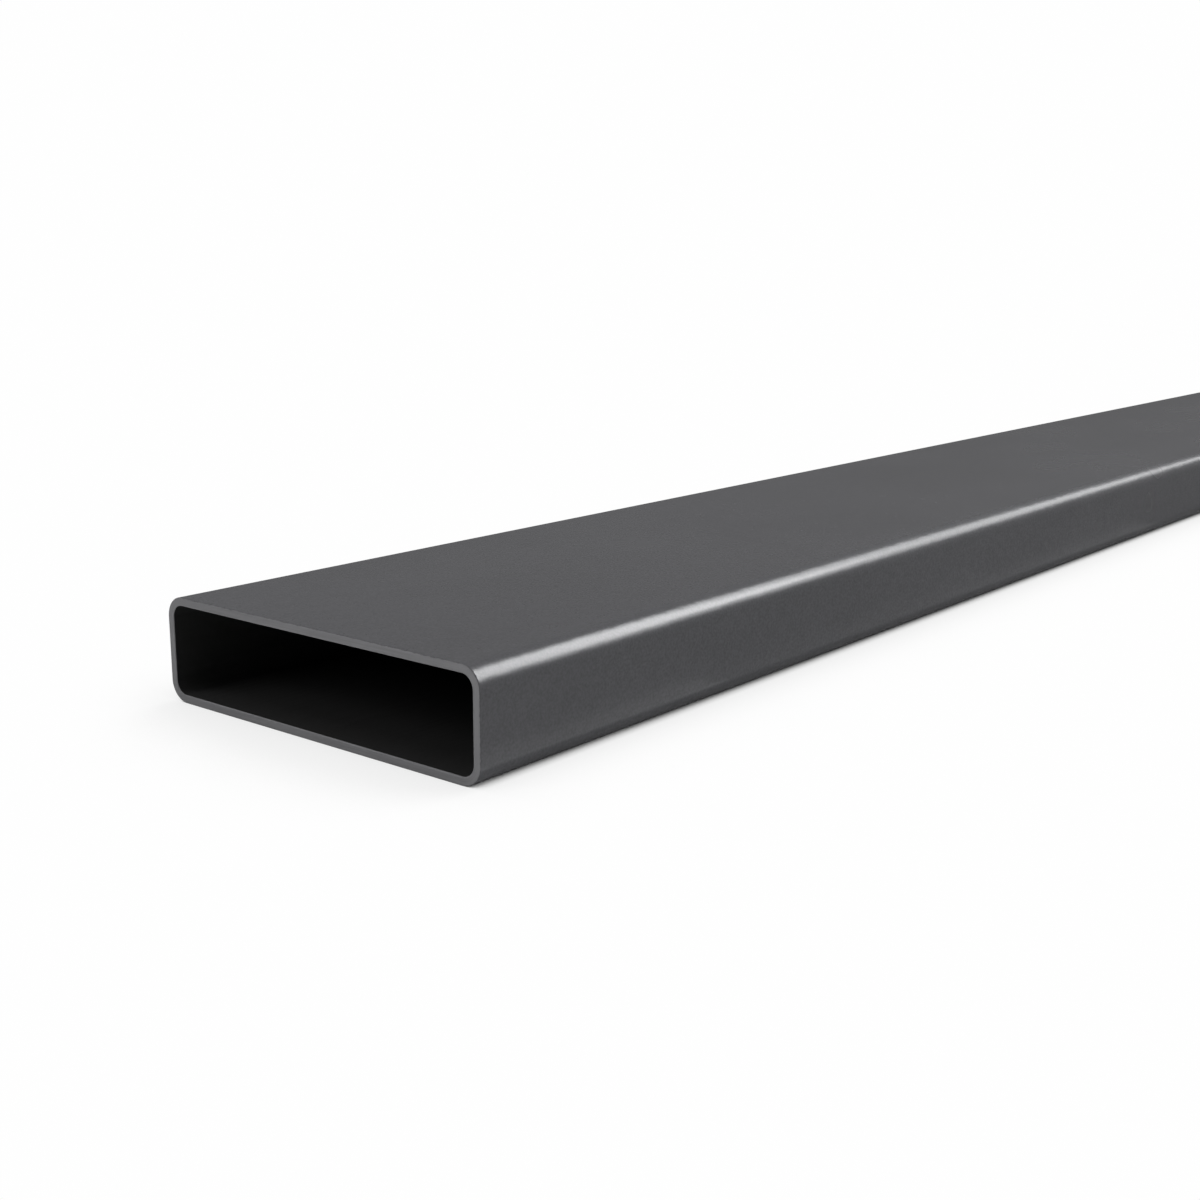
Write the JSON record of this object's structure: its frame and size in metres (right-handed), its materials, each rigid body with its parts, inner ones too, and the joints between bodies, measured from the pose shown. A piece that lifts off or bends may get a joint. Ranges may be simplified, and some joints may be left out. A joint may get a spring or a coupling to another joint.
{
  "type": "aluminium fence slat",
  "caption": "Hollow rectangular fence slat with rounded corners and a dark grey coating, sawn square and open at the ends, fixed flat to posts or slid into channels.",
  "frame": {"origin": "middle of the back face that the slat lies on", "axes": "+X along the length, +Y across the width, +Z through the thickness from the back face to the front face"},
  "size_m": [1.8, 0.065, 0.0165],
  "materials": {
    "coated_aluminium": "satin"
  },
  "bodies": {
    "root": {"slat": "coated_aluminium"}
  },
  "joints": []
}
